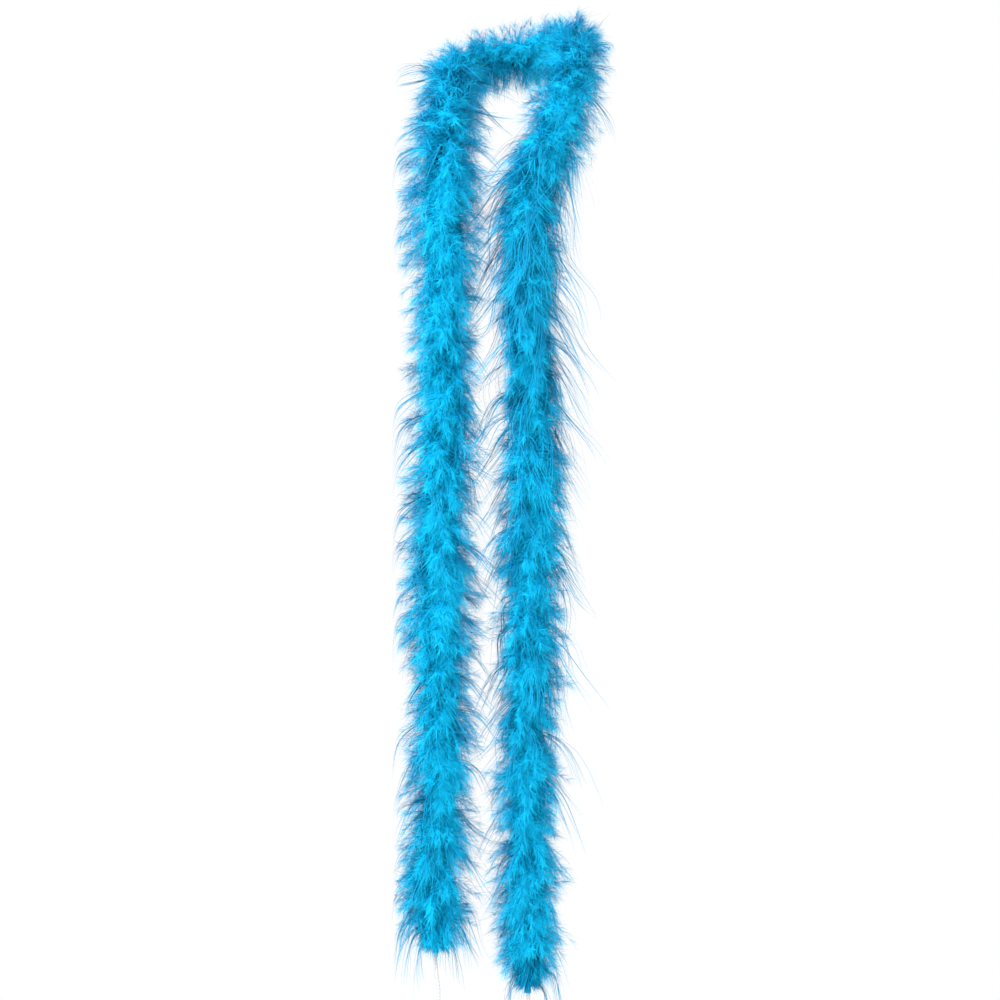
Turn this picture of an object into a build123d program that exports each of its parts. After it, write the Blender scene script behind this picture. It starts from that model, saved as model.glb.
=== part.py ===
"""A two-metre feather boa, hanging round a neck, in millimetres.

The boa is a cotton core cord with a binding thread wound over it. The thread traps the
quills of turkey marabou plumes, whose down makes the soft inside of the boa, and the
longer ostrich flues that make its outside. The dense feathers are closed sleeves here,
one for the down and one for the flues.

The boa bends anywhere, and four bends stand for that: one on each side where it leaves
the chest, and one half way down each hanging end. At a bend every layer is a short
piece of its own, which flexes. The layers between the bends are the rigid bodies.

The origin is the middle of the neck, just under the level of the boa's highest point.
+Z is up, the wearer faces -Y, and +X is on the right for somebody who faces the wearer.
"""
from build123d import *
import math
import os

os.makedirs("parts", exist_ok=True)

# Sections
CORE_RADIUS = 2.2          # twisted cotton cord
BINDING_RADIUS = 2.8       # outside of the binding thread
DOWN_RADIUS = 19.0         # outside of the marabou down
FLUE_RADIUS = 31.0         # outside of the dense ostrich flues
WHIPPING_RADIUS = 3.4      # outside of the thread whipping at each end
WHIPPING_LENGTH = 8.0
WHIPPING_ROUNDING = 0.5

# Levels of the hanging ends
CHEST_BEND_TOP = -195.0
CHEST_BEND_FOOT = -250.0
MIDDLE_BEND_TOP = -535.0
MIDDLE_BEND_FOOT = -590.0
LEFT_END = -915.0
RIGHT_END = -955.0

# Places of the hanging ends
FRONT = -92.0              # how far the chest holds the boa in front of the neck
LEFT_CHEST = -75.0
LEFT_MIDDLE = -78.0
LEFT_FOOT = -83.0
RIGHT_CHEST = 10.0
RIGHT_MIDDLE = 13.0
RIGHT_FOOT = 10.0

# Knot in the end of each cotton tail
KNOT_RADIUS = 4.6
KNOT_HEIGHT = 9.0
KNOT_ROUNDING = 2.0
FRAY_TOP_RADIUS = 1.8
FRAY_LENGTH = 12.0
FRAY_TAPER = -4.0          # degrees, so the frayed cotton widens downwards

# An arc takes this share of the shorter of the two runs that it joins.
ARC_SHARE = 0.45

# Each layer of the boa: its outer and its inner radius
LAYERS = {
    "core_cord": (CORE_RADIUS, 0.0),
    "binding_thread": (BINDING_RADIUS, CORE_RADIUS),
    "marabou_down": (DOWN_RADIUS, BINDING_RADIUS),
    "ostrich_flues": (FLUE_RADIUS, DOWN_RADIUS),
}

# The route of the core cord, stretch by stretch, as the corners of its runs
LEFT_SHOULDER = [
    (LEFT_CHEST, FRONT, CHEST_BEND_TOP),
    (LEFT_CHEST, FRONT, -163),
    (-75, -79, -122),
    (-71, -51, -80),
]
NAPE = [
    (-66, -12, -45),
    (-60, 31, -20),
    (-30, 67, -5),
    (22, 72, 4),
    (58, 41, 8),
    (60, -6, -10),
]
RIGHT_SHOULDER = [
    (54, -45, -43),
    (42, -71, -84),
    (29, -85, -122),
    (RIGHT_CHEST, FRONT, -160),
    (RIGHT_CHEST, FRONT, CHEST_BEND_TOP),
]
NECK = LEFT_SHOULDER + NAPE + RIGHT_SHOULDER
LEFT_CHEST_BEND = [
    (LEFT_CHEST, FRONT, CHEST_BEND_TOP),
    (LEFT_CHEST, FRONT, CHEST_BEND_FOOT),
]
LEFT_UPPER = [
    (LEFT_CHEST, FRONT, CHEST_BEND_FOOT),
    (LEFT_CHEST, FRONT, -290),
    (-72, FRONT, -358),
    (-76, FRONT, -428),
    (LEFT_MIDDLE, FRONT, -494),
    (LEFT_MIDDLE, FRONT, MIDDLE_BEND_TOP),
]
LEFT_MIDDLE_BEND = [
    (LEFT_MIDDLE, FRONT, MIDDLE_BEND_TOP),
    (LEFT_MIDDLE, FRONT, MIDDLE_BEND_FOOT),
]
LEFT_LOWER = [
    (LEFT_MIDDLE, FRONT, MIDDLE_BEND_FOOT),
    (LEFT_MIDDLE, FRONT, -635),
    (-75, FRONT, -705),
    (-80, FRONT, -775),
    (LEFT_FOOT, FRONT, -846),
    (LEFT_FOOT, FRONT, LEFT_END),
]
RIGHT_CHEST_BEND = [
    (RIGHT_CHEST, FRONT, CHEST_BEND_TOP),
    (RIGHT_CHEST, FRONT, CHEST_BEND_FOOT),
]
RIGHT_UPPER = [
    (RIGHT_CHEST, FRONT, CHEST_BEND_FOOT),
    (RIGHT_CHEST, FRONT, -290),
    (12, FRONT, -355),
    (17, FRONT, -425),
    (RIGHT_MIDDLE, FRONT, -492),
    (RIGHT_MIDDLE, FRONT, MIDDLE_BEND_TOP),
]
RIGHT_MIDDLE_BEND = [
    (RIGHT_MIDDLE, FRONT, MIDDLE_BEND_TOP),
    (RIGHT_MIDDLE, FRONT, MIDDLE_BEND_FOOT),
]
RIGHT_LOWER = [
    (RIGHT_MIDDLE, FRONT, MIDDLE_BEND_FOOT),
    (RIGHT_MIDDLE, FRONT, -635),
    (9, FRONT, -712),
    (8, FRONT, -794),
    (RIGHT_FOOT, FRONT, -875),
    (RIGHT_FOOT, FRONT, RIGHT_END),
]

# The bare cotton tails, from the end of the feathers down to their knots
LEFT_TAIL = [
    (LEFT_FOOT, FRONT, LEFT_END),
    (LEFT_FOOT, FRONT, -938),
    (-79, FRONT, -960),
    (-81, FRONT, -984),
    (-81, FRONT, -1006),
]
RIGHT_TAIL = [
    (RIGHT_FOOT, FRONT, RIGHT_END),
    (RIGHT_FOOT, FRONT, -978),
    (14, FRONT, -1000),
    (11, FRONT, -1024),
    (11, FRONT, -1046),
]

STRETCHES = {
    "neck": NECK,
    "left_chest_bend": LEFT_CHEST_BEND,
    "left_upper": LEFT_UPPER,
    "left_middle_bend": LEFT_MIDDLE_BEND,
    "left_lower": LEFT_LOWER,
    "right_chest_bend": RIGHT_CHEST_BEND,
    "right_upper": RIGHT_UPPER,
    "right_middle_bend": RIGHT_MIDDLE_BEND,
    "right_lower": RIGHT_LOWER,
}


def arc_radii(corners):
    """The radius of the arc at each corner, as large as its two runs allow."""
    radii = []
    for before, here, after in zip(corners, corners[1:], corners[2:]):
        run_in = Vector(here) - Vector(before)
        run_out = Vector(after) - Vector(here)
        half_turn = math.radians(run_in.get_angle(run_out)) / 2
        shorter = min(run_in.length, run_out.length)
        radii.append(ARC_SHARE * shorter / math.tan(half_turn))
    return radii


# Round the neck the flues are three sleeves, so that each is a simple shape. They meet
# half way along a straight run, and their arcs are those of the whole neck stretch.
NECK_RADII = arc_radii(NECK)
LEFT_SEAM = tuple((a + b) / 2 for a, b in zip(LEFT_SHOULDER[-1], NAPE[0]))
RIGHT_SEAM = tuple((a + b) / 2 for a, b in zip(NAPE[-1], RIGHT_SHOULDER[0]))
LEFT_ARCS = len(LEFT_SHOULDER) - 1
RIGHT_ARCS = len(RIGHT_SHOULDER) - 1
NECK_SLEEVES = {
    "left_shoulder": (LEFT_SHOULDER + [LEFT_SEAM], NECK_RADII[:LEFT_ARCS]),
    "nape": ([LEFT_SEAM] + NAPE + [RIGHT_SEAM], NECK_RADII[LEFT_ARCS:-RIGHT_ARCS]),
    "right_shoulder": ([RIGHT_SEAM] + RIGHT_SHOULDER, NECK_RADII[-RIGHT_ARCS:]),
}


def make_tube(name, corners, radii, outer, inner):
    """A round tube along a route, and a line on how its volume compares."""
    with BuildPart() as tube:
        with BuildLine() as route:
            if radii:
                FilletPolyline(*corners, radius=radii)
            else:
                Line(*corners)
        path = route.wire()
        with BuildSketch(Plane(path @ 0, z_dir=path % 0)):
            Circle(outer)
            if inner > 0:
                Circle(inner, mode=Mode.SUBTRACT)
        sweep(path=path)
    save(tube, name)
    section = math.pi * (outer**2 - inner**2)
    share = tube.part.volume / (section * path.length)
    print(f"{name}: {path.length:.1f} mm long, volume over section x length {share:.4f}")


def save(piece, name):
    """Label a finished piece and write it to its own file."""
    piece.part.label = name
    export_step(piece.part, f"parts/{name}.step")


def make_whipping(name, top):
    """The thread whipping that holds the last quills, round the top of a tail."""
    with BuildPart() as whipping:
        with BuildSketch(Plane(top, z_dir=(0, 0, -1))):
            Circle(WHIPPING_RADIUS)
            Circle(CORE_RADIUS, mode=Mode.SUBTRACT)
        extrude(amount=WHIPPING_LENGTH)
        outer_rims = whipping.edges().filter_by(GeomType.CIRCLE).group_by(SortBy.RADIUS)[-1]
        fillet(outer_rims, radius=WHIPPING_ROUNDING)
    save(whipping, name)


def make_knot(name, top):
    """The overhand knot in a tail's end, with the frayed cotton under it."""
    knot_plane = Plane(top, z_dir=(0, 0, -1))
    with BuildPart() as knot:
        with BuildSketch(knot_plane):
            Circle(KNOT_RADIUS)
        extrude(amount=KNOT_HEIGHT)
        fillet(knot.edges(), radius=KNOT_ROUNDING)
        with BuildSketch(knot_plane.offset(KNOT_HEIGHT)):
            Circle(FRAY_TOP_RADIUS)
        extrude(amount=FRAY_LENGTH, taper=FRAY_TAPER)
    save(knot, name)


def print_radii(name, radii):
    """The arcs of a route, from its first corner to its last."""
    print(f"{name}: arc radii {', '.join(f'{radius:.0f}' for radius in radii)} mm")


for stretch, corners in STRETCHES.items():
    radii = arc_radii(corners)
    if radii:
        print_radii(stretch, radii)
    for layer, (outer, inner) in LAYERS.items():
        if stretch == "neck" and layer == "ostrich_flues":
            for sleeve, (sleeve_corners, sleeve_radii) in NECK_SLEEVES.items():
                make_tube(f"{layer}_{sleeve}", sleeve_corners, sleeve_radii, outer, inner)
        else:
            make_tube(f"{layer}_{stretch}", corners, radii, outer, inner)

for side, corners in {"left": LEFT_TAIL, "right": RIGHT_TAIL}.items():
    radii = arc_radii(corners)
    print_radii(f"{side} tail", radii)
    make_tube(f"cotton_tail_{side}", corners, radii, CORE_RADIUS, 0.0)
    make_whipping(f"end_whipping_{side}", corners[0])
    make_knot(f"tail_knot_{side}", corners[-1])
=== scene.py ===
"""A feather boa: its cotton core, its marabou down and its ostrich flues, in metres."""
import math

import bpy
import numpy as np
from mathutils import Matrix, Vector


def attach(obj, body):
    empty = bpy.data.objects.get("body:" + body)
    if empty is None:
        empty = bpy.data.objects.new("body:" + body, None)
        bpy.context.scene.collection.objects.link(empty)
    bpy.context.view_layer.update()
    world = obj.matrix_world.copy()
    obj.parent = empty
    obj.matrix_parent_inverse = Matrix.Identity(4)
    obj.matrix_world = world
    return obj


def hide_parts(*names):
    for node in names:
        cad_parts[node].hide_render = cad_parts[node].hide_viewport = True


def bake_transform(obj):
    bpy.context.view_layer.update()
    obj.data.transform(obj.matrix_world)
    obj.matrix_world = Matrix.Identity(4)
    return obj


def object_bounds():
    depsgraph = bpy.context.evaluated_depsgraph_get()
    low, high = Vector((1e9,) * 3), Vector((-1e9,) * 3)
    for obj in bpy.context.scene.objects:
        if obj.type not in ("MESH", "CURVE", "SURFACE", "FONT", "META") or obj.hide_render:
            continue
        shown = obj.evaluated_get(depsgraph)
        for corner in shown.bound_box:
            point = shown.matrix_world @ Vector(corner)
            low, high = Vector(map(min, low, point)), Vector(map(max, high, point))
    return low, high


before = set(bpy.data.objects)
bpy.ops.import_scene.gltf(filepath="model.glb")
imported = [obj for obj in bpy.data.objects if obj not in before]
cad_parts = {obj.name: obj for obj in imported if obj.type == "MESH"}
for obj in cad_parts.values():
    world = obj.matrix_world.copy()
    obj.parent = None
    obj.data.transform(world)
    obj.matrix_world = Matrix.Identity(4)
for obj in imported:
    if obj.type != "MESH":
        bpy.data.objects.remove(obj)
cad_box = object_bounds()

# ---------------------------------------------------------------- sizes, in metres
MM = 0.001
DOWN = np.array([0.0, 0.0, -1.0])
FRONT = -0.092                  # how far the chest holds the boa in front of the neck

CORE_RADIUS = 2.2 * MM
CORE_PITCH = 11.0 * MM          # one turn of the three yarns of the cotton cord
THREAD_RADIUS = 0.3 * MM
THREAD_PITCH = 3.2 * MM         # one turn of the binding thread
YARN_TILE = 12.0 * MM           # the length of yarn that the map of fibres spans

QUILL_ROOT_RADIUS = 2.6 * MM    # where the feathers leave the binding thread
QUILL_WIDTH = 0.45 * MM
PLUMES_PER_MM = 2.2
PLUME_LENGTH = 27.5 * MM
PLUME_VARIES = 5.0 * MM
BARBS_PER_PLUME = 84
BARB_LENGTH = 16.5 * MM
UNDERCOAT_PER_MM = 70
UNDERCOAT_LENGTH = 12.0 * MM
FLUE_STATIONS = 15              # the points along a flue
SIDE_BARB_LENGTH = 2.5 * MM
STRAYS_PER_MM = 0.24
BARE_END = 26.0 * MM            # no feather is rooted this close to an end of the boa
SHORT_END = 55.0 * MM           # feathers are shorter this close to an end of the boa

# Flues by kind: how many hang together, how wide each is in millimetres, how many side barbs
# it has, and how much it lies flat on the mass, rather than turns any way
TUFT = {"in_tuft": 6, "width": (0.5, 0.9), "fringe": 80, "lying": 0.9}
STRAY = {"in_tuft": 1, "width": (0.25, 0.42), "fringe": 56, "lying": 0.3}
WISP = {"in_tuft": 8, "width": (0.45, 0.8), "fringe": 84, "lying": 0.3}

# Each feather takes a narrow band of the map of tints, at a place of its own
TINT_BAND = 1.0 / 32.0

# The seeds of the random draws, for the first piece of down and the first piece of flues
DOWN_SEED = 100
FLUES_SEED = 200

# Feathers may stand proud of the solid model's box by a share of each side and a little more
BOX_LOW = np.array(cad_box[0])
BOX_HIGH = np.array(cad_box[1])
PROUD = (BOX_HIGH - BOX_LOW) * 0.03 + 0.009
GIVE = 12.0 * MM                # how far inside that limit they start to give way
NECK_PRESS = 36.0 * MM          # the neck presses them back to this distance from its middle

WHIPPING_LENGTH = 8.0 * MM
WHIPPING_RADIUS = 3.1 * MM
WHIPPING_PITCH = 0.62 * MM
KNOT_HEIGHT = 9.0 * MM
KNOT_YARN_RADIUS = 1.15 * MM
FRAY_LENGTH = 11.0 * MM
FRAY_STRANDS = 46

# The route of the core cord, from the left end up, round the nape and down to the right end
LEFT_SIDE = [
    (-0.083, FRONT, -0.915),
    (-0.083, FRONT, -0.846),
    (-0.080, FRONT, -0.775),
    (-0.075, FRONT, -0.705),
    (-0.078, FRONT, -0.635),
    (-0.078, FRONT, -0.494),
    (-0.076, FRONT, -0.428),
    (-0.072, FRONT, -0.358),
    (-0.075, FRONT, -0.290),
    (-0.075, FRONT, -0.163),
]
ROUND_THE_NECK = [
    (-0.075, -0.079, -0.122),
    (-0.071, -0.051, -0.080),
    (-0.066, -0.012, -0.045),
    (-0.060, 0.031, -0.020),
    (-0.030, 0.067, -0.005),
    (0.022, 0.072, 0.004),
    (0.058, 0.041, 0.008),
    (0.060, -0.006, -0.010),
    (0.054, -0.045, -0.043),
    (0.042, -0.071, -0.084),
    (0.029, -0.085, -0.122),
]
RIGHT_SIDE = [
    (0.010, FRONT, -0.160),
    (0.010, FRONT, -0.290),
    (0.012, FRONT, -0.355),
    (0.017, FRONT, -0.425),
    (0.013, FRONT, -0.492),
    (0.013, FRONT, -0.635),
    (0.009, FRONT, -0.712),
    (0.008, FRONT, -0.794),
    (0.010, FRONT, -0.875),
    (0.010, FRONT, -0.955),
]
LEFT_TAIL = [
    (-0.083, FRONT, -0.915),
    (-0.083, FRONT, -0.938),
    (-0.079, FRONT, -0.960),
    (-0.081, FRONT, -0.984),
    (-0.081, FRONT, -1.006),
]
RIGHT_TAIL = [
    (0.010, FRONT, -0.955),
    (0.010, FRONT, -0.978),
    (0.014, FRONT, -1.000),
    (0.011, FRONT, -1.024),
    (0.011, FRONT, -1.046),
]


# ---------------------------------------------------------------- small helpers
def unit(v):
    """Vectors of length one, along the last axis."""
    return v / np.maximum(np.linalg.norm(v, axis=-1, keepdims=True), 1e-12)


def smooth(x):
    """From 0 to 1 as x goes from 0 to 1, with a slow start and end."""
    x = np.clip(x, 0.0, 1.0)
    return x * x * (3.0 - 2.0 * x)


def link(obj):
    """Put a new object in the scene."""
    bpy.context.scene.collection.objects.link(obj)
    return obj


def spline_points(points):
    """The points of a smooth NURBS spline that has these control points."""
    curve = bpy.data.curves.new("route", "CURVE")
    curve.dimensions = "3D"
    spline = curve.splines.new("NURBS")
    spline.points.add(len(points) - 1)
    for place, point in zip(spline.points, points):
        place.co = (*point, 1.0)
    spline.order_u = 3
    spline.use_endpoint_u = True
    spline.resolution_u = 40
    holder = link(bpy.data.objects.new("route", curve))
    mesh = bpy.data.meshes.new_from_object(holder)
    found = np.array([tuple(v.co) for v in mesh.vertices])
    bpy.data.objects.remove(holder)
    bpy.data.curves.remove(curve)
    bpy.data.meshes.remove(mesh)
    return found


class Line:
    """A line with its places, directions and cross directions by distance along it."""

    def __init__(self, points, step=MM):
        run = np.concatenate([[0.0], np.cumsum(np.linalg.norm(np.diff(points, axis=0), axis=1))])
        self.length = run[-1]
        self.at = np.linspace(0.0, self.length, int(self.length / step) + 1)
        self.place = np.stack([np.interp(self.at, run, points[:, k]) for k in range(3)], axis=1)
        self.along = unit(np.gradient(self.place, axis=0))
        front = np.array([0.0, -1.0, 0.0])
        across = [unit(front - self.along[0] * (self.along[0] @ front))]
        for way in self.along[1:]:
            across.append(unit(across[-1] - way * (way @ across[-1])))
        self.across = np.array(across)
        self.aside = np.cross(self.along, self.across)

    def look_up(self, values, at):
        """A vector that is kept along the line, at some distances."""
        return np.stack([np.interp(at, self.at, values[:, k]) for k in range(3)], axis=1)

    def frame(self, at):
        """Places at some distances, and the directions along, across and aside there."""
        return (
            self.look_up(self.place, at),
            unit(self.look_up(self.along, at)),
            unit(self.look_up(self.across, at)),
            unit(self.look_up(self.aside, at)),
        )


boa = Line(spline_points(LEFT_SIDE + ROUND_THE_NECK + RIGHT_SIDE))
NAPE_AT = float(boa.at[boa.place[:, 1].argmax()])


def at_level(z, side):
    """The distance along the boa at a level of its left or right hanging end."""
    on_side = boa.at < NAPE_AT if side == "left" else boa.at > NAPE_AT
    return float(boa.at[on_side][np.abs(boa.place[on_side, 2] - z).argmin()])


# ---------------------------------------------------------------- feathers
def way_of_lay(at, out):
    """The way that feathers lie, square to the way they stand out, and how firmly they do.

    They lie down the boa on each side, and loosely down at the nape."""
    _, along, _, _ = boa.frame(at)
    side = np.clip((at - NAPE_AT) / 0.120, -1.0, 1.0)[:, None]
    lay = unit(along * np.where(np.abs(side) < 0.1, 0.1, side) + DOWN * 0.35)
    lay = unit(lay - out * np.sum(out * lay, axis=1, keepdims=True))
    return lay, 0.35 + 0.65 * np.abs(side)


def ribbons(spine, width, face, tint):
    """Tapered flat strips: a spine of points for each, ending in a point.

    spine is (count, stations, 3), and face is the way that each strip's front faces.
    Returns vertices, triangles and, for each vertex, where it lies across the strip's own
    band of tints and along the strip, from root to tip."""
    count, stations, _ = spine.shape
    way = np.gradient(spine, axis=1)
    side = unit(np.cross(way, face[:, None, :]))
    share = np.linspace(0.0, 1.0, stations)
    half = 0.5 * width[:, None, None] * (1.0 - share**2.2)[None, :, None]
    left = spine - side * half
    right = spine + side * half
    body = np.stack([left[:, :-1], right[:, :-1]], axis=2).reshape(count, -1, 3)
    verts = np.concatenate([body, spine[:, -1:]], axis=1)
    per = verts.shape[1]
    tris = []
    for k in range(stations - 2):
        a = 2 * k
        tris += [(a, a + 1, a + 3), (a, a + 3, a + 2)]
    tris.append((per - 3, per - 2, per - 1))
    tris = np.array(tris)[None] + (np.arange(count) * per)[:, None, None]
    along = np.concatenate([np.repeat(share[:-1], 2), [1.0]])
    over = np.concatenate([np.tile([0.0, 1.0], stations - 1), [0.5]])
    uv = np.stack(
        [tint[:, None] + over[None] * TINT_BAND, np.broadcast_to(along, (count, per))], axis=2
    )
    return verts.reshape(-1, 3), tris.reshape(-1, 3), uv.reshape(-1, 2)


def soft_normals(verts, place, along, face, firmness):
    """Normals that face out from the core, as light meets a mass of fine barbs.

    verts is (count, per, 3), and place, along and face are one vector for each strip."""
    out = verts - place[:, None]
    out = unit(out - along[:, None] * np.sum(out * along[:, None], axis=2, keepdims=True))
    return unit(out * (1.0 - firmness) + face[:, None] * firmness).reshape(-1, 3)


def join(parts):
    """Several lots of vertices, triangles, map places and normals as one."""
    verts, tris, uvs, normals, start = [], [], [], [], 0
    for v, t, u, n in parts:
        verts.append(v)
        tris.append(t + start)
        uvs.append(u)
        normals.append(n)
        start += len(v)
    return tuple(np.concatenate(lot) for lot in (verts, tris, uvs, normals))


def mesh_object(name, verts, tris, uv, normals, material):
    """A mesh object made from arrays in one go, with its map of tints and its normals."""
    mesh = bpy.data.meshes.new(name)
    mesh.vertices.add(len(verts))
    mesh.vertices.foreach_set("co", verts.astype(np.float32).ravel())
    mesh.loops.add(tris.size)
    mesh.loops.foreach_set("vertex_index", tris.astype(np.int32).ravel())
    mesh.polygons.add(len(tris))
    mesh.polygons.foreach_set("loop_start", np.arange(0, tris.size, 3, dtype=np.int32))
    mesh.update(calc_edges=True)
    layer = mesh.uv_layers.new(name="OFBake")
    layer.data.foreach_set("uv", uv[tris.ravel()].astype(np.float32).ravel())
    mesh.normals_split_custom_set_from_vertices(normals.astype(np.float32))
    mesh.materials.append(material)
    return link(bpy.data.objects.new(name, mesh))


def keep_in_room(verts):
    """Press feathers back where the neck holds them, and softly short of the boa's outer box."""
    reach = np.linalg.norm(verts[:, :2], axis=1)
    at_neck = smooth((verts[:, 2] + 0.130) / 0.060)
    push = np.clip(NECK_PRESS - reach, 0.0, None) * at_neck
    verts = verts.copy()
    verts[:, :2] += unit(verts[:, :2]) * push[:, None] * 0.85
    for edge, sign in ((BOX_LOW - PROUD, -1.0), (BOX_HIGH + PROUD, 1.0)):
        over = np.clip(sign * (verts - edge) + GIVE, 0.0, None)
        verts -= sign * over**2 / (over + GIVE)
    return verts


# How full the boa is at some levels of each side: 1 is its usual width
LEFT_FULLNESS = [
    (-1.0, 0.92), (-0.915, 0.95), (-0.870, 1.30), (-0.830, 1.12), (-0.790, 1.26), (-0.750, 1.00),
    (-0.710, 1.20), (-0.670, 1.10), (-0.630, 0.90), (-0.590, 1.42), (-0.540, 1.32), (-0.490, 1.18),
    (-0.430, 1.24), (-0.350, 1.16), (-0.310, 1.06), (-0.260, 1.10), (-0.190, 1.36), (-0.110, 1.34),
    (-0.070, 1.14), (-0.030, 0.98), (0.1, 0.98),
]
RIGHT_FULLNESS = [
    (-1.0, 0.82), (-0.950, 0.86), (-0.900, 1.02), (-0.830, 1.10), (-0.790, 0.92), (-0.750, 1.20),
    (-0.700, 0.92), (-0.640, 1.08), (-0.590, 1.18), (-0.550, 1.04), (-0.510, 1.24), (-0.430, 1.28),
    (-0.370, 1.08), (-0.300, 1.04), (-0.230, 1.14), (-0.180, 1.30), (-0.110, 1.26), (-0.070, 1.14),
    (-0.020, 0.98), (0.1, 0.98),
]


def fullness(at):
    """How full the boa is along its length, in uneven bunches."""
    place, _, _, _ = boa.frame(at)
    left, right = (
        np.interp(place[:, 2], *zip(*levels)) for levels in (LEFT_FULLNESS, RIGHT_FULLNESS)
    )
    ripple = 0.06 * np.sin(at / 0.0062 + 3.0 * np.sin(at / 0.041))
    return np.where(at < NAPE_AT, left, right) + ripple


def short_of_end(at):
    """1 along the boa, and down to 0 at its two ends, where the feathers are shorter."""
    return smooth(np.minimum(at, boa.length - at) / SHORT_END)


def roots(span, count, rng):
    """The distances along the boa of feathers in a span, clear of the boa's two ends."""
    return rng.uniform(max(span[0], BARE_END), min(span[1], boa.length - BARE_END), count)


def stand(at, rng, aim=None):
    """Where feathers are rooted, and the directions out of, along and round the boa there.

    They stand out all round it, or the way they are aimed."""
    place, along, across, aside = boa.frame(at)
    turn = rng.uniform(0, 2 * math.pi, len(at))
    out = across * np.cos(turn)[:, None] + aside * np.sin(turn)[:, None]
    if aim is not None:
        out = unit(aim - along * np.sum(aim * along, axis=1, keepdims=True))
    lay, firmly = way_of_lay(at, out)
    return place, along, out, lay, np.cross(lay, out), firmly


def undercoat(span, rng):
    """The short dense fluff at the feet of the plumes, which hides the core, coloured with painted
    shade.
    """
    count = int((span[1] - span[0]) / MM * UNDERCOAT_PER_MM)
    at = rng.uniform(*span, count)
    place, along, out, lay, around, _ = stand(at, rng)
    lean = lay * rng.normal(0.4, 0.5, (count, 1))
    way = unit(out + lean + around * rng.normal(0, 0.5, (count, 1)))
    root = place + out * rng.uniform(QUILL_ROOT_RADIUS, 7 * MM, (count, 1))
    reach = (rng.normal(UNDERCOAT_LENGTH, 2.5 * MM, count) * fullness(at))[:, None, None]
    u = np.linspace(0.0, 1.0, 3)[:, None]
    spine = root[:, None] + (way[:, None] + DOWN * 0.25 * u) * reach * u
    face = unit(out + rng.normal(0, 0.7, (count, 3)))
    tint = rng.uniform(0.0, 0.95, count)
    verts, tris, uv = ribbons(spine, rng.uniform(0.5, 0.9, count) * MM, face, tint)
    # painted shade: the undercoat takes only the dark root end of the tints, for the shade deep in
    # the mass
    uv[:, 1] *= 0.35
    normals = soft_normals(verts.reshape(count, -1, 3), place, along, face, 0.25)
    return verts, tris, uv, normals


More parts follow.
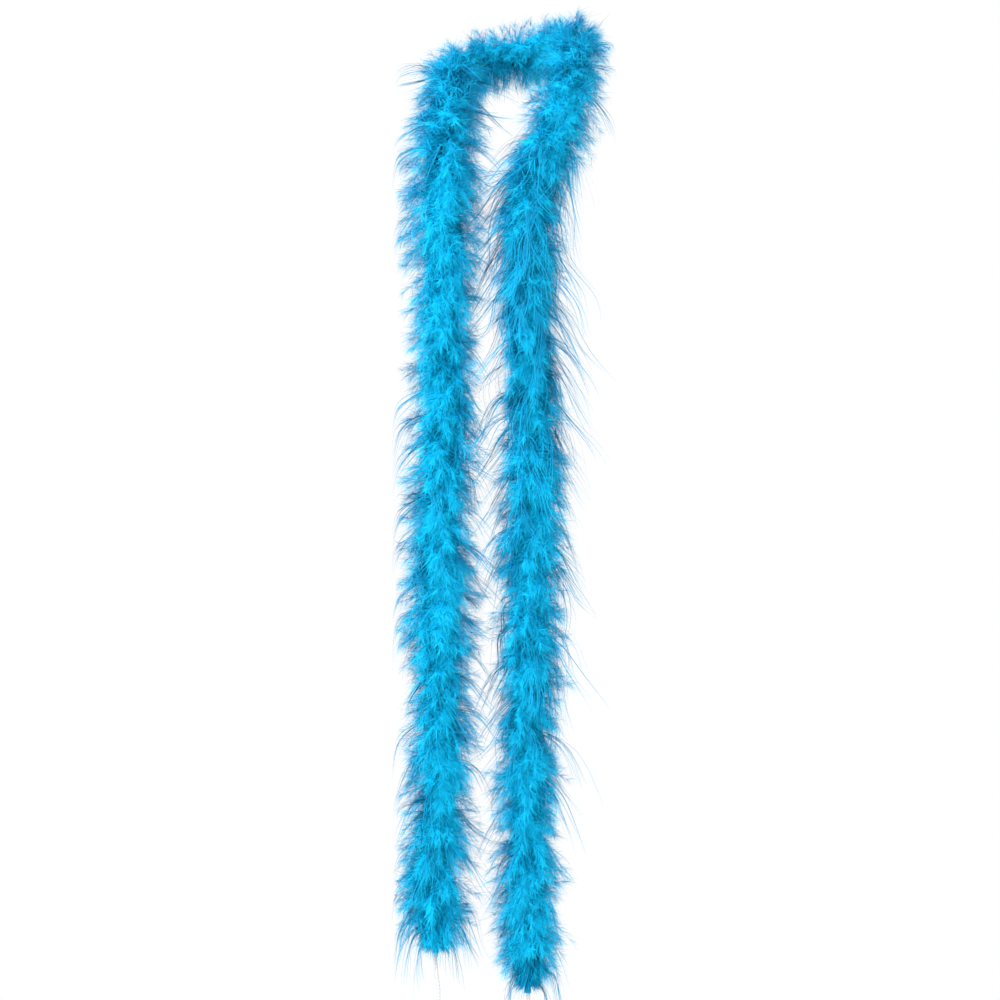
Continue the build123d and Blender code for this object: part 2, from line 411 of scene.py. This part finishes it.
def make_down(name, span, material, seed, fluff):
    """Marabou plumes: short soft quills with fine curling barbs all the way up."""
    rng = np.random.default_rng(seed)
    plumes = int((span[1] - span[0]) / MM * PLUMES_PER_MM)
    barbs = BARBS_PER_PLUME
    at = roots(span, plumes, rng)
    place, along, out, lay, around, firmly = stand(at, rng)
    lean = np.radians(rng.normal(28, 24, plumes))[:, None] * firmly
    swing = np.radians(rng.normal(0, 20, plumes))[:, None]
    start = unit(out * np.cos(lean) + lay * np.sin(lean) + around * np.sin(swing))
    full = fullness(at)
    length = rng.normal(PLUME_LENGTH, PLUME_VARIES, plumes) * full * fluff
    length = (length * (0.72 + 0.28 * short_of_end(at)))[:, None]
    sag = length * rng.uniform(0.05, 0.40, (plumes, 1))
    sideways = unit(np.cross(start, rng.normal(size=(plumes, 3))))
    root = place + out * QUILL_ROOT_RADIUS

    def quill(u):
        u = u[..., None]
        return (
            root[:, None]
            + start[:, None] * length[:, None] * u
            + (DOWN * 0.6 + lay * 0.4)[:, None] * sag[:, None] * u**2
        )

    # the barbs of every plume
    u = rng.uniform(0.08, 1.0, (plumes, barbs)) ** 0.8
    base = quill(u)
    ahead = unit(quill(u + 0.03) - base)
    round_quill = rng.normal(0.0, 0.9, (plumes, barbs)) + np.where(
        rng.random((plumes, barbs)) < 0.5, 0.0, math.pi
    )
    other = np.cross(ahead, sideways[:, None])
    off = unit(
        sideways[:, None] * np.cos(round_quill)[..., None]
        + other * np.sin(round_quill)[..., None]
    )
    open_angle = np.radians(68 - 38 * u + rng.normal(0, 14, u.shape))[..., None]
    barb_way = unit(ahead * np.cos(open_angle) + off * np.sin(open_angle))
    barb_length = BARB_LENGTH * (0.6 + 0.4 * np.sin(math.pi * np.clip(u, 0, 1) ** 0.7))
    barb_length = (barb_length * rng.uniform(0.55, 1.35, u.shape) * full[:, None] ** 0.5)[..., None]
    curl = unit(rng.normal(size=base.shape)) * rng.uniform(0.05, 0.42, u.shape)[..., None]
    stations = np.linspace(0.0, 1.0, 4)
    spine = (
        base[:, :, None]
        + barb_way[:, :, None] * barb_length[:, :, None] * stations[:, None]
        + (DOWN * 0.18 + curl)[:, :, None] * barb_length[:, :, None] * stations[:, None] ** 2
    ).reshape(-1, 4, 3)
    count = len(spine)
    of_plume = np.repeat(np.arange(plumes), barbs)
    face = unit(out[of_plume] * 0.9 + rng.normal(0, 0.55, (count, 3)))
    width = rng.uniform(0.17, 0.32, count) * MM
    tint = rng.uniform(0.0, 0.9, plumes)[of_plume] + rng.uniform(0, 0.06, count)
    verts, tris, uv = ribbons(spine, width, face, tint)
    # painted shade: the foot of a barb lies deeper in the boa than its tip, so it takes more of the
    # dark root colour
    depth = np.repeat(u.reshape(-1), len(verts) // count)
    uv[:, 1] = np.clip(0.55 * depth + 0.45 * uv[:, 1] + rng.normal(0, 0.02, len(uv)), 0.0, 1.0)
    barbs_made = (
        verts, tris, uv,
        soft_normals(verts.reshape(count, -1, 3), place[of_plume], along[of_plume], face, 0.22),
    )

    verts, tris, uv = ribbons(
        quill(np.broadcast_to(np.linspace(0.0, 1.0, 6), (plumes, 6))),
        np.full(plumes, QUILL_WIDTH),
        out,
        rng.uniform(0.0, 0.9, plumes),
    )
    quills_made = (
        verts, tris, uv, soft_normals(verts.reshape(plumes, -1, 3), place, along, out, 0.3)
    )
    verts, tris, uv, normals = join([barbs_made, quills_made, undercoat(span, rng)])
    return mesh_object(name, keep_in_room(verts), tris, uv, normals, material)


def flues(rng, start_at, aim, splay, long, swerve, in_tuft, width, fringe, lying):
    """Tufts of limp strands that part from the core and hang, with short side barbs.

    splay and long are one number for each tuft: how widely it stands and how long it is.
    swerve is how much the flues wave, and the rest says what kind they are."""
    tufts = len(start_at)
    count = tufts * in_tuft

    def for_tufts(values):
        return np.repeat(values, in_tuft, axis=0)

    place, along, out, lay, around, firmly = (for_tufts(x) for x in stand(start_at, rng, aim))
    full = fullness(for_tufts(start_at))
    shift = rng.normal(0, 1.2 * MM, (count, 1))
    wild = for_tufts(splay)
    length = for_tufts(long) * rng.normal(1.0, 0.11, count)
    stations = FLUE_STATIONS
    u = np.linspace(0.0, 1.0, stations)
    # the angle from straight out towards the lay, along each flue
    first = np.radians(for_tufts(rng.normal(18, 14, tufts)) + rng.normal(0, 4, count))[:, None]
    last = np.radians(96 - 52 * wild + rng.normal(0, 4, count))[:, None] * firmly**0.5
    bend_by = (0.30 + 0.50 * wild)[:, None]
    angle = first + (last - first) * smooth(u[None] / bend_by)
    # a tuft flicks outwards at its tip, sways to one side, and waves both ways on the way down
    flick = for_tufts(rng.exponential(0.30, tufts)) + rng.normal(0, 0.10, count)
    angle -= flick[:, None] * u[None] ** 3
    sway = for_tufts(rng.normal(0, 0.40, tufts))[:, None] * swerve * smooth(u[None] * 1.5)
    swirl = for_tufts(rng.uniform(0, 2 * math.pi, tufts))[:, None]
    wave = for_tufts(rng.uniform(0.15, 0.60, tufts))[:, None] * swerve
    sway = sway + wave * np.sin(swirl + 6.5 * u[None]) * u[None] ** 0.5
    roll = for_tufts(rng.normal(0, 0.28, tufts))[:, None] * swerve
    angle += roll * np.sin(swirl * 1.7 + 6.0 * u[None]) * u[None]
    sway = sway + rng.normal(0, 0.14, count)[:, None] * np.sin(math.pi * u[None])
    way = (
        out[:, None] * np.cos(angle)[..., None]
        + lay[:, None] * np.sin(angle)[..., None]
        + around[:, None] * np.sin(sway)[..., None]
    )
    # and it hangs more the further out it is
    way = unit(way + DOWN * (0.30 * u[:, None] ** 1.5))
    step = (length / (stations - 1))[:, None, None]
    steps = np.concatenate([np.zeros((count, 1, 3)), way[:, :-1] * step], axis=1)
    root = place + out * QUILL_ROOT_RADIUS + along * shift
    spine = root[:, None] + np.cumsum(steps, axis=1) * full[:, None, None] ** 0.5
    face = unit(out * lying + rng.normal(0, 0.45, (count, 3)))
    tint = for_tufts(rng.uniform(0.0, 0.9, tufts)) + rng.uniform(0, 0.06, count)
    verts, tris, uv = ribbons(spine, rng.uniform(*width, count) * MM, face, tint)
    # light meets the mass as a whole near the core, and each flue by itself at its tip
    firmness = 0.35 + 0.50 * uv[:, 1].reshape(count, -1, 1)
    made = [(
        verts, tris, uv, soft_normals(verts.reshape(count, -1, 3), place, along, face, firmness)
    )]

    # side barbs, one triangle each, along both edges of each flue
    share = np.linspace(0.14, 0.985, fringe)[None] + rng.uniform(-0.005, 0.005, (count, fringe))
    where = share * (stations - 1)
    low = np.clip(where.astype(int), 0, stations - 2)
    rest = (where - low)[..., None]
    rows = np.arange(count)[:, None]
    foot = spine[rows, low] * (1 - rest) + spine[rows, low + 1] * rest
    ahead = unit(spine[rows, low + 1] - spine[rows, low])
    edge = np.where(np.arange(fringe) % 2, 1.0, -1.0)[:, None]
    side = unit(np.cross(ahead, face[:, None])) * edge
    side = unit(side + rng.normal(0, 0.35, side.shape))
    reach = SIDE_BARB_LENGTH * (1.0 - 0.75 * share**1.5) * rng.uniform(0.6, 1.25, share.shape)
    open_by = np.radians(rng.normal(36, 9, share.shape))[..., None]
    tip = foot + reach[..., None] * (ahead * np.cos(open_by) + side * np.sin(open_by))
    half = ahead * 0.12 * MM * edge
    verts = np.stack([foot + half, foot - half, tip], axis=2).reshape(-1, 3)
    tris = np.arange(len(verts)).reshape(-1, 3)
    uv = np.empty((count, fringe, 3, 2))
    uv[..., 0] = tint[:, None, None] + np.array([0.0, 1.0, 0.5]) * TINT_BAND
    uv[..., 1] = np.stack([share - 0.02, share, np.minimum(share + 0.06, 1.0)], axis=2)
    firmness = 0.35 + 0.50 * uv[..., 1].reshape(count, -1, 1)
    made.append((
        verts, tris, uv.reshape(-1, 2),
        soft_normals(verts.reshape(count, -1, 3), place, along, face, firmness),
    ))
    return join(made)


def wisps_within(span):
    """The separate wisps rooted in a span: where, which way, how widely and how long."""
    found = []
    for side, ways in WISPS.items():
        for way, wisps in ways.items():
            for level, splay, long in wisps:
                at = at_level(level, side)
                if span[0] <= at < span[1]:
                    found.append((at, way, splay, long))
    return found


def make_flues(name, span, material, seed, per_mm, long, splay, swerve):
    """Ostrich flues: pointed tufts, single ones that stray out, and the separate wisps."""
    rng = np.random.default_rng(seed)
    parts = []
    for kind, per, wider, longest, bend in (
        (TUFT, per_mm, 0.0, 1.20, swerve),
        (STRAY, STRAYS_PER_MM, 0.25, 1.00, swerve * 1.6),
    ):
        count = int((span[1] - span[0]) / MM * per)
        at = roots(span, count, rng)
        wide = rng.random(count) ** 1.5 * (splay + wider)
        reach = np.clip(rng.normal(1.0, 0.24, count), 0.35, longest) * long
        reach = reach * (0.42 + 0.58 * short_of_end(at))
        parts.append(flues(rng, at, None, wide, reach, bend, **kind))
    wisps = wisps_within(span)
    if wisps:
        at, way, wide, reach = (np.array(x) for x in zip(*wisps))
        aim = np.stack([way * 1.0, rng.normal(-0.25, 0.25, len(way)), np.zeros(len(way))], axis=1)
        parts.append(flues(rng, at, aim, wide, reach, 0.7, **WISP))
    verts, tris, uv, normals = join(parts)
    return mesh_object(name, keep_in_room(verts), tris, uv, normals, material)


# ---------------------------------------------------------------- cord and thread
def tube_rings(centres, radii, sides):
    """A round tube through a line of centres, with closed ends.

    Its map runs up and down over the same tile, across round the tube and along it."""
    count = len(centres)
    way = unit(np.gradient(centres, axis=0))
    hint = np.tile([0.0, -1.0, 0.0], (count, 1))
    flat = np.abs(way[:, 1]) > 0.9
    hint[flat] = [1.0, 0.0, 0.0]
    first = unit(np.cross(way, hint))
    second = np.cross(way, first)
    turn = np.arange(sides) * 2 * math.pi / sides
    spokes = (
        first[:, None] * np.cos(turn)[None, :, None] + second[:, None] * np.sin(turn)[None, :, None]
    )
    verts = (centres[:, None] + spokes * radii[:, None, None]).reshape(-1, 3)
    run = np.concatenate([[0.0], np.cumsum(np.linalg.norm(np.diff(centres, axis=0), axis=1))])
    up = np.abs((run / YARN_TILE) % 2.0 - 1.0)
    over = np.abs(np.arange(sides) / sides * 2.0 - 1.0)
    uv = np.stack(np.broadcast_arrays(over[None], up[:, None]), axis=2).reshape(-1, 2)
    ring = np.arange(count - 1)[:, None] * sides
    here = np.arange(sides)
    after = (here + 1) % sides
    a, b = ring + here, ring + after
    tris = np.stack([a, b, b + sides, a, b + sides, a + sides], axis=2).reshape(-1, 3)
    foot, top = len(verts), len(verts) + 1
    last = (count - 1) * sides
    caps = [(foot, after[k], here[k]) for k in range(sides)]
    caps += [(top, last + here[k], last + after[k]) for k in range(sides)]
    verts = np.concatenate([verts, centres[:1], centres[-1:]])
    uv = np.concatenate([uv, [[0.5, 0.5], [0.5, 0.5]]])
    normals = np.concatenate([spokes.reshape(-1, 3), -way[:1], way[-1:]])
    return verts, np.concatenate([tris, np.array(caps)]), uv, normals


def make_rope(name, line, span, step, sides):
    """Three cotton yarns twisted into a cord."""
    at = np.linspace(*span, int((span[1] - span[0]) / step) + 2)
    place, _, across, aside = line.frame(at)
    yarn = CORE_RADIUS * 0.54
    parts = []
    for k in range(3):
        turn = 2 * math.pi * (at / CORE_PITCH + k / 3)
        off = across * np.cos(turn)[:, None] + aside * np.sin(turn)[:, None]
        centres = place + off * (CORE_RADIUS - yarn)
        parts.append(tube_rings(centres, np.full(len(at), yarn), sides))
    return mesh_object(name, *join(parts), cotton_material)


def make_winding(name, line, span, radius, pitch, turn_steps):
    """A thread wound round a cord, its middle at a radius."""
    turns = (span[1] - span[0]) / pitch
    at = np.linspace(*span, int(turns * turn_steps) + 2)
    place, _, across, aside = line.frame(at)
    turn = 2 * math.pi * at / pitch
    off = across * np.cos(turn)[:, None] + aside * np.sin(turn)[:, None]
    made = tube_rings(place + off * radius, np.full(len(at), THREAD_RADIUS), 5)
    return mesh_object(name, *made, thread_material)


# ---------------------------------------------------------------- materials
def new_material(name, roughness, sheen=0.0, gloss=0.5):
    """A material, its nodes and links, and its shader, with a turquoise sheen."""
    material = bpy.data.materials.new(name)
    material.use_nodes = True
    shader = material.node_tree.nodes["Principled BSDF"]
    shader.inputs["Roughness"].default_value = roughness
    shader.inputs["Sheen Weight"].default_value = sheen
    shader.inputs["Sheen Tint"].default_value = (0.25, 0.80, 1.0, 1.0)
    shader.inputs["Specular IOR Level"].default_value = gloss
    return material, material.node_tree.nodes, material.node_tree.links, shader


def feather_material(name, root, middle, tip, roughness, sheen, gloss, spread):
    """Colour from root to tip, a little different from one feather to the next. The dark root
    colour is painted shade, for the shade deep inside the mass of barbs.
    """
    material, nodes, links, shader = new_material(name, roughness, sheen, gloss)
    place = nodes.new("ShaderNodeUVMap")
    place.uv_map = "OFBake"
    split = nodes.new("ShaderNodeSeparateXYZ")
    links.new(place.outputs["UV"], split.inputs["Vector"])
    ramp = nodes.new("ShaderNodeValToRGB")
    # the root colour is painted shade, darker than the feathers' own colour, for the shade deep in
    # the mass
    ramp.color_ramp.elements[0].color = (*root, 1.0)
    ramp.color_ramp.elements[1].color = (*tip, 1.0)
    half_way = ramp.color_ramp.elements.new(0.42)
    half_way.color = (*middle, 1.0)
    links.new(split.outputs["Y"], ramp.inputs["Fac"])
    noise = nodes.new("ShaderNodeTexNoise")
    noise.noise_dimensions = "1D"
    noise.inputs["Scale"].default_value = 37.0
    noise.inputs["Detail"].default_value = 2.0
    links.new(split.outputs["X"], noise.inputs["W"])
    shade = nodes.new("ShaderNodeMapRange")
    shade.inputs["From Min"].default_value = 0.3
    shade.inputs["From Max"].default_value = 0.7
    shade.inputs["To Min"].default_value = 1.0 - spread
    shade.inputs["To Max"].default_value = 1.0 + spread
    links.new(noise.outputs["Fac"], shade.inputs["Value"])
    tinted = nodes.new("ShaderNodeHueSaturation")
    links.new(ramp.outputs["Color"], tinted.inputs["Color"])
    links.new(shade.outputs["Result"], tinted.inputs["Value"])
    links.new(tinted.outputs["Color"], shader.inputs["Base Color"])
    return material


def yarn_material(name, dark, light, roughness):
    """Spun fibres that run along a yarn, as streaks of two close colours."""
    material, nodes, links, shader = new_material(name, roughness, 0.1, 0.2)
    place = nodes.new("ShaderNodeUVMap")
    place.uv_map = "OFBake"
    stretch = nodes.new("ShaderNodeMapping")
    stretch.inputs["Scale"].default_value = (9.0, 22.0, 1.0)
    stretch.inputs["Rotation"].default_value = (0.0, 0.0, math.radians(25))
    links.new(place.outputs["UV"], stretch.inputs["Vector"])
    noise = nodes.new("ShaderNodeTexNoise")
    noise.inputs["Scale"].default_value = 1.0
    noise.inputs["Detail"].default_value = 3.0
    links.new(stretch.outputs["Vector"], noise.inputs["Vector"])
    ramp = nodes.new("ShaderNodeValToRGB")
    ramp.color_ramp.elements[0].position = 0.32
    ramp.color_ramp.elements[0].color = (*dark, 1.0)
    ramp.color_ramp.elements[1].position = 0.60
    ramp.color_ramp.elements[1].color = (*light, 1.0)
    links.new(noise.outputs["Fac"], ramp.inputs["Fac"])
    links.new(ramp.outputs["Color"], shader.inputs["Base Color"])
    return material


# The dark root colours are painted shade, for the shade deep among the barbs.
down_material = feather_material(
    "marabou_down",
    root=(0.0003, 0.070, 0.17), middle=(0.0006, 0.37, 0.68), tip=(0.012, 0.64, 0.90),
    roughness=0.85, sheen=0.06, gloss=0.03, spread=0.10,
)
flue_material = feather_material(
    "ostrich_flues",
    root=(0.0002, 0.045, 0.11), middle=(0.0003, 0.20, 0.40), tip=(0.004, 0.37, 0.60),
    roughness=0.55, sheen=0.04, gloss=0.08, spread=0.26,
)
cotton_material = yarn_material("cotton_cord", (0.34, 0.335, 0.35), (0.56, 0.555, 0.57), 0.9)
thread_material = yarn_material("binding_thread", (0.002, 0.16, 0.34), (0.01, 0.36, 0.60), 0.6)

# ---------------------------------------------------------------- the pieces
LEFT_NECK = at_level(-0.100, "left")
LEFT_MIDDLE = at_level(-0.395, "left")
LEFT_FOOT = at_level(-0.720, "left")
RIGHT_NECK = at_level(-0.100, "right")
RIGHT_MIDDLE = at_level(-0.395, "right")
RIGHT_FOOT = at_level(-0.720, "right")

ZONES = {
    "left_foot": (0.0, LEFT_FOOT),
    "left_middle": (LEFT_FOOT, LEFT_MIDDLE),
    "left_chest": (LEFT_MIDDLE, LEFT_NECK),
    "nape_left": (LEFT_NECK, NAPE_AT),
    "nape_right": (NAPE_AT, RIGHT_NECK),
    "right_chest": (RIGHT_NECK, RIGHT_MIDDLE),
    "right_middle": (RIGHT_MIDDLE, RIGHT_FOOT),
    "right_foot": (RIGHT_FOOT, boa.length),
}


def follow(piece, zone):
    """Make a piece of a nape or foot zone move with the body that it lies on; a piece of any other
    zone is only fixed in place, on no body.
    """
    side = zone.split("_")[0]
    if zone.startswith("nape"):
        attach(piece, "collar")
    elif zone.endswith("foot"):
        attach(piece, f"{side}_lower")
    else:
        x = boa.frame(np.array([at_level(-0.222, side)]))[0][0][0]
        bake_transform(piece)


NODES_OF_ZONE = {
    "left_foot": ["left_lower"],
    "left_middle": ["left_middle_bend"],
    "left_chest": ["left_chest_bend", "left_upper"],
    "nape_left": ["left_shoulder"],
    "nape_right": ["nape", "right_shoulder"],
    "right_chest": ["right_chest_bend", "right_upper"],
    "right_middle": ["right_middle_bend"],
    "right_foot": ["right_lower"],
}
SHOULDERS = ("left_shoulder", "nape", "right_shoulder")

# Tufts of flues to the millimetre, how long they are, how widely they splay and swerve
FLUES_OF_ZONE = {
    "left_foot": (0.20, 0.068, 1.00, 1.0),
    "left_middle": (0.19, 0.068, 1.10, 1.0),
    "left_chest": (0.10, 0.058, 0.95, 0.9),
    "nape_left": (0.14, 0.052, 1.05, 1.0),
    "nape_right": (0.17, 0.056, 0.85, 1.0),
    "right_chest": (0.64, 0.088, 0.60, 1.45),
    "right_middle": (0.36, 0.082, 0.60, 1.35),
    "right_foot": (0.15, 0.070, 0.70, 1.1),
}
# How long the down is beside its usual length, where the flues lie over it
FLUFF_OF_ZONE = {"right_chest": 0.82, "right_middle": 0.90}

# Wisps that stand out of the mass: for each side, those towards -X and those towards +X, as
# the level of the root, how widely the wisp stands, and how long it is
WISPS = {
    "left": {
        -1: [
            (-0.018, 1.3, 0.070), (-0.030, 1.2, 0.072), (-0.045, 1.0, 0.075), (-0.090, 0.9, 0.075),
            (-0.115, 0.8, 0.080), (-0.175, 0.8, 0.070), (-0.360, 0.8, 0.085), (-0.385, 0.7, 0.095),
            (-0.410, 0.75, 0.090), (-0.460, 0.8, 0.085), (-0.500, 0.9, 0.085),
            (-0.545, 0.9, 0.080), (-0.575, 0.8, 0.080), (-0.690, 0.75, 0.090),
            (-0.720, 0.8, 0.085), (-0.770, 0.7, 0.080), (-0.800, 0.8, 0.075),
            (-0.850, 0.8, 0.075), (-0.880, 0.6, 0.075), (-0.895, 0.4, 0.070),
            (-0.902, 0.3, 0.066),
        ],
        1: [
            (-0.035, 1.0, 0.075), (-0.055, 0.9, 0.080), (-0.075, 0.8, 0.080), (-0.100, 0.9, 0.070),
            (-0.130, 0.8, 0.070), (-0.300, 0.8, 0.070), (-0.360, 0.8, 0.070), (-0.470, 0.9, 0.070),
            (-0.500, 1.0, 0.070), (-0.530, 1.0, 0.075), (-0.560, 1.1, 0.070), (-0.610, 0.9, 0.075),
            (-0.640, 0.8, 0.080), (-0.680, 0.9, 0.075), (-0.800, 0.8, 0.080), (-0.890, 0.4, 0.070),
            (-0.900, 0.3, 0.064),
        ],
    },
    "right": {
        -1: [
            (-0.140, 0.8, 0.085), (-0.170, 0.7, 0.090), (-0.200, 0.7, 0.090), (-0.250, 0.6, 0.085),
            (-0.360, 0.7, 0.090), (-0.390, 0.6, 0.095), (-0.430, 0.7, 0.085), (-0.500, 0.7, 0.080),
            (-0.620, 0.6, 0.085), (-0.660, 0.6, 0.080), (-0.760, 0.6, 0.085), (-0.820, 0.6, 0.075),
            (-0.935, 0.3, 0.075),
        ],
        1: [
            (0.000, 1.3, 0.060), (-0.020, 1.2, 0.065), (-0.050, 1.0, 0.070), (-0.120, 0.7, 0.085),
            (-0.135, 0.6, 0.090), (-0.200, 0.7, 0.080), (-0.250, 0.6, 0.075), (-0.330, 0.45, 0.066),
            (-0.350, 0.4, 0.066), (-0.380, 0.4, 0.068), (-0.410, 0.4, 0.066), (-0.450, 0.5, 0.068),
            (-0.520, 0.6, 0.078), (-0.590, 0.6, 0.082), (-0.700, 0.6, 0.090), (-0.740, 0.55, 0.090),
            (-0.860, 0.6, 0.075), (-0.940, 0.3, 0.075), (-0.950, 0.2, 0.070),
        ],
    },
}


def halves(zone, span):
    """A zone's span in two, named, so that no piece has too many faces."""
    middle = (span[0] + span[1]) / 2
    return [(f"{zone}_a", (span[0], middle)), (f"{zone}_b", (middle, span[1]))]


def stand_for_inside(stretch):
    """Hide the solid down, core and thread under a stretch's flues, which these pieces take the
    place of.
    """
    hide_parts(f"marabou_down_{stretch}")
    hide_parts(f"core_cord_{stretch}")
    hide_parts(f"binding_thread_{stretch}")


def make_zone(number, zone, span):
    """The down, flues, core and thread of one zone, in place of the solids there."""
    downs, tops = [], []
    for part, (name, half) in enumerate(halves(zone, span)):
        seed = 2 * number + part
        look = (down_material, DOWN_SEED + seed, FLUFF_OF_ZONE.get(zone, 1.0))
        downs.append(make_down(f"marabou_down_{name}", half, *look))
        look = (flue_material, FLUES_SEED + seed, *FLUES_OF_ZONE[zone])
        tops.append(make_flues(f"ostrich_flues_{name}", half, *look))
    core = make_rope(f"core_cord_{zone}", boa, span, 1.6 * MM, 6)
    thread = make_winding(
        f"binding_thread_{zone}", boa, span, CORE_RADIUS + THREAD_RADIUS, THREAD_PITCH, 12
    )
    for pieces, slot in (
        (downs, "marabou_down"),
        (tops, "ostrich_flues"),
        ([core], "cotton_cord"),
        ([thread], "binding_thread"),
    ):
        for piece in pieces:
            follow(piece, zone)
    for stretch in NODES_OF_ZONE[zone]:
        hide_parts(f"ostrich_flues_{stretch}")
        if stretch not in SHOULDERS:
            stand_for_inside(stretch)
    if zone == "nape_left":
        stand_for_inside("neck")


for number, (zone, span) in enumerate(ZONES.items()):
    make_zone(number, zone, span)


# ---------------------------------------------------------------- tails and their knots
def make_knot(name, top, seed):
    """An overhand knot, as a bulge of crossing yarns, and the cord's frayed tip under it."""
    rng = np.random.default_rng(seed)
    middle = np.array(top) + DOWN * KNOT_HEIGHT / 2
    u = np.linspace(0.0, 2 * math.pi, 72)
    parts = []
    for k in range(3):
        # a trefoil is what an overhand knot becomes when its ends are pulled
        turn = u + k * 0.22
        loop = np.stack(
            [
                np.sin(turn) + 2.0 * np.sin(2 * turn),
                np.cos(turn) - 2.0 * np.cos(2 * turn),
                -np.sin(3 * turn) * 1.35,
            ],
            axis=1,
        ) * (0.80 + 0.17 * k)
        radii = np.full(len(u), KNOT_YARN_RADIUS)
        parts.append(tube_rings(middle + loop * 1.02 * MM, radii, 9))
    heart = np.linspace(-0.42, 0.42, 9)
    bulge = 2.6 * MM * np.sqrt(1.0 - (heart / 0.5) ** 2)
    centre = middle + heart[:, None] * KNOT_HEIGHT * DOWN
    parts.append(tube_rings(centre, bulge, 14))
    fray_top = np.array(top) + DOWN * (KNOT_HEIGHT - 1.0 * MM)
    for _ in range(FRAY_STRANDS):
        turn = rng.uniform(0, 2 * math.pi)
        out = np.array([math.cos(turn), math.sin(turn), 0.0])
        t = np.linspace(0.0, 1.0, 9)[:, None]
        wave = rng.normal(0, 0.35 * MM, 3) * np.sin(t * math.pi * rng.uniform(1.0, 2.5))
        start = fray_top + out * rng.uniform(0.1, 1.4) * MM
        run = start + out * rng.uniform(0.2, 2.2) * MM * t**1.5
        run = run + wave + DOWN * (FRAY_LENGTH * rng.uniform(0.75, 1.0)) * t
        thick = np.linspace(0.20, 0.13, 9) * MM
        parts.append(tube_rings(run, thick, 4))
    return mesh_object(name, *join(parts), cotton_material)


def make_tail(side, route, seed):
    """A bare cotton tail with its whipping and its knot, as one limp hanging cord."""
    line = Line(spline_points(route), step=0.5 * MM)
    tail = make_rope(f"tail_cord_{side}", line, (0.0, line.length), 0.6 * MM, 10)
    whipping = make_winding(
        f"whipping_{side}", line, (0.0, WHIPPING_LENGTH), WHIPPING_RADIUS - THREAD_RADIUS,
        WHIPPING_PITCH, 28,
    )
    under = tube_rings(
        line.frame(np.linspace(0.0, WHIPPING_LENGTH, 9))[0],
        np.full(9, WHIPPING_RADIUS - 1.4 * THREAD_RADIUS), 20,
    )
    wrap = mesh_object(f"whipping_bed_{side}", *under, thread_material)
    knot = make_knot(f"overhand_knot_{side}", route[-1], seed)
    for piece, slot in (
        (tail, "cotton_cord"),
        (knot, "cotton_cord"),
        (whipping, "binding_thread"),
        (wrap, "binding_thread"),
    ):
        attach(piece, f"{side}_lower")
    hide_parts(f"cotton_tail_{side}")
    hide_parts(f"end_whipping_{side}")
    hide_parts(f"tail_knot_{side}")


make_tail("left", LEFT_TAIL, 7)
make_tail("right", RIGHT_TAIL, 8)


# ---------------------------------------------------------------- floor, light and camera
def make_stage():
    """A plain pale floor under the boa's ends."""
    bpy.ops.mesh.primitive_circle_add(vertices=96, radius=1.4, fill_type="NGON")
    floor = bpy.context.object
    floor.name = "floor"
    floor.location = (0, 0, BOX_LOW[2] - 0.15)
    material, _, _, shader = new_material("floor", 0.9)
    shader.inputs["Base Color"].default_value = (0.85, 0.85, 0.85, 1.0)
    floor.data.materials.append(material)


def make_light(name, place, size, power, target=(0, 0, -0.45)):
    """A soft square light that faces the middle of the drape."""
    light = bpy.data.lights.new(name, "AREA")
    light.shape = "SQUARE"
    light.size = size
    light.energy = power
    lamp = link(bpy.data.objects.new(name, light))
    lamp.location = place
    lamp.rotation_euler = (Vector(target) - Vector(place)).to_track_quat("-Z", "Y").to_euler()


def make_world(strength):
    """Even white light from all round."""
    world = bpy.data.worlds.new("studio")
    world.use_nodes = True
    background = world.node_tree.nodes["Background"]
    background.inputs["Color"].default_value = (1.0, 1.0, 1.0, 1.0)
    background.inputs["Strength"].default_value = strength
    bpy.context.scene.world = world


def make_camera():
    """A long lens square to the wearer's front, as high as the middle of the drape."""
    camera = bpy.data.cameras.new("camera")
    distance = 3.2
    picture_side = 1.0
    camera.sensor_width = 36.0
    camera.lens = camera.sensor_width * (distance + FRONT) / picture_side
    eye = link(bpy.data.objects.new("camera", camera))
    eye.location = (-0.018, -distance, -0.470)
    eye.rotation_euler = (math.radians(90), 0, 0)
    bpy.context.scene.camera = eye


make_stage()
make_world(1.0)
make_light("key", (-1.3, -2.2, 1.0), 1.2, 135)
make_light("fill", (1.6, -1.8, -0.2), 1.6, 24)
make_light("back", (0.5, 2.2, 0.8), 1.2, 60)
make_camera()
bpy.context.scene.view_settings.view_transform = "Standard"
